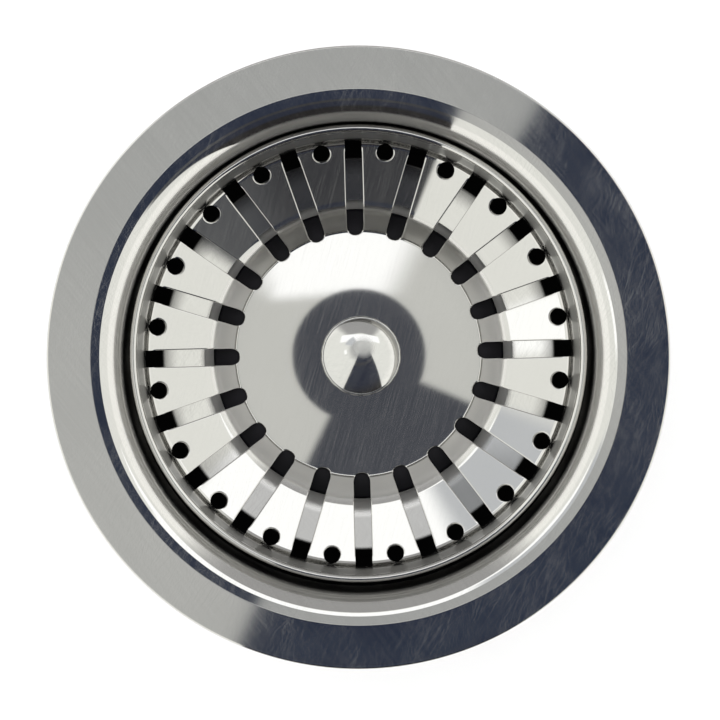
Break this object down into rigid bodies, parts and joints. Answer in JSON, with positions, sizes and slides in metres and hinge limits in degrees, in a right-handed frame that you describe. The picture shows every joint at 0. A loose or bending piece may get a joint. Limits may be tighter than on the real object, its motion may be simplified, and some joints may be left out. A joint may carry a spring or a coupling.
{
  "type": "basket strainer waste",
  "caption": "Kitchen sink waste with a pressed steel flange and bowl, lift-out slotted strainer basket with domed knob, rubber stopper and threaded plastic outlet.",
  "frame": {"origin": "centre of the outlet's open end, on the axis of the waste", "axes": "+Z up along the axis from the outlet to the flange; +X to the right and +Y up in the picture"},
  "size_m": [0.113, 0.113, 0.0875],
  "materials": {
    "bowl_steel": "polished with a fine linear grain",
    "basket_steel": "polished with a fine linear grain",
    "knob_steel": "bright polished",
    "stem_steel": "turned",
    "screw_steel": "turned",
    "plate_steel": "plain",
    "seal_rubber": "matt",
    "stopper_rubber": "matt",
    "body_plastic": "moulded",
    "insert_brass": "turned",
    "washer_plastic": "moulded",
    "catch_plastic": "moulded"
  },
  "bodies": {
    "waste": {"waste_bowl": "bowl_steel", "flange_seal": "seal_rubber", "body_seal": "seal_rubber", "outlet_body": "body_plastic", "threaded_insert": "insert_brass", "centre_screw": "screw_steel", "screw_washer": "washer_plastic"},
    "basket_set": {"basket": "basket_steel", "knob": "knob_steel", "stem": "stem_steel", "stopper_seal": "stopper_rubber", "seal_plate": "plate_steel", "lock_washer": "plate_steel", "stem_nut": "screw_steel", "catch_sleeve": "catch_plastic"}
  },
  "joints": [
    {"name": "basket_lift", "type": "slide", "parent": "waste", "child": "basket_set", "axis": [0, 0, 1], "range_m": [0, 0.07]}
  ]
}
